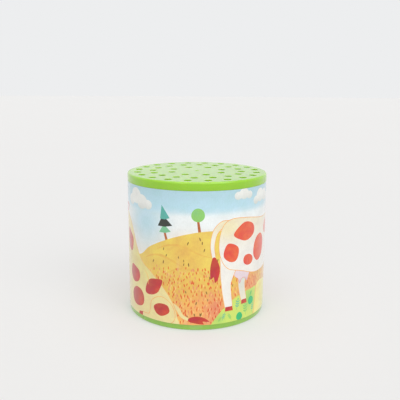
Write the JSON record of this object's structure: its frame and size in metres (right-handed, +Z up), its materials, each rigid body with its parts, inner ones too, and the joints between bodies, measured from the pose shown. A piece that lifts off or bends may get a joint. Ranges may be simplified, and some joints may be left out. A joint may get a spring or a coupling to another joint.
{
  "type": "tilt sound toy can",
  "caption": "Round toy can that lows when turned over and back: printed paperboard tube, perforated lid, weighted bellows and reed inside.",
  "frame": {"origin": "middle of the resting plane under the base", "axes": "+Z up along the can's axis, towards the perforated lid; the picture's front faces -Y"},
  "size_m": [0.08, 0.08, 0.0809],
  "materials": {
    "green_plastic": "glossy moulded",
    "printed_paper": "printed and gloss laminated",
    "paperboard": "raw grey-brown board",
    "natural_plastic": "natural moulded",
    "grey_plastic": "moulded",
    "cast_weight": "as cast",
    "bellows_film": "thin satin film",
    "foam": "open foam",
    "valve_rubber": "soft sheet",
    "spring_steel": "plain",
    "brass": "drawn and rolled",
    "wedge_wood": "plain hardwood"
  },
  "bodies": {
    "can": {"paper_tube": "paperboard", "printed_label": "printed_paper", "perforated_lid": "green_plastic", "base_cap": "green_plastic", "lower_bumper_ring": "foam", "upper_bumper_ring": "foam", "lower_clamp_ring": "grey_plastic", "bellows": "bellows_film"},
    "carrier": {"weight_carrier": "natural_plastic", "weight_ring": "cast_weight", "weight_cover": "grey_plastic", "upper_clamp_ring": "grey_plastic", "valve_retainer": "spring_steel", "reed_boot": "natural_plastic", "reed_block": "grey_plastic", "shallot": "brass", "reed_wedge": "wedge_wood", "sound_horn": "natural_plastic"},
    "valve": {"valve_ring": "valve_rubber"},
    "tongue": {"reed_tongue": "brass"}
  },
  "joints": [
    {"name": "carrier_slide", "type": "slide", "parent": "can", "child": "carrier", "axis": [0, 0, 1], "range_m": [0, 0.0295], "deforming": ["bellows"]},
    {"name": "valve_lift", "type": "slide", "parent": "carrier", "child": "valve", "axis": [0, 0, 1], "range_m": [0, 0.0015]},
    {"name": "tongue_swing", "type": "hinge", "parent": "carrier", "child": "tongue", "pos_m": [0, -0.00235, 0.0369], "axis": [1, 0, 0], "range_deg": [-1, 2], "stiffness_Nm_per_rad": 0.05}
  ]
}
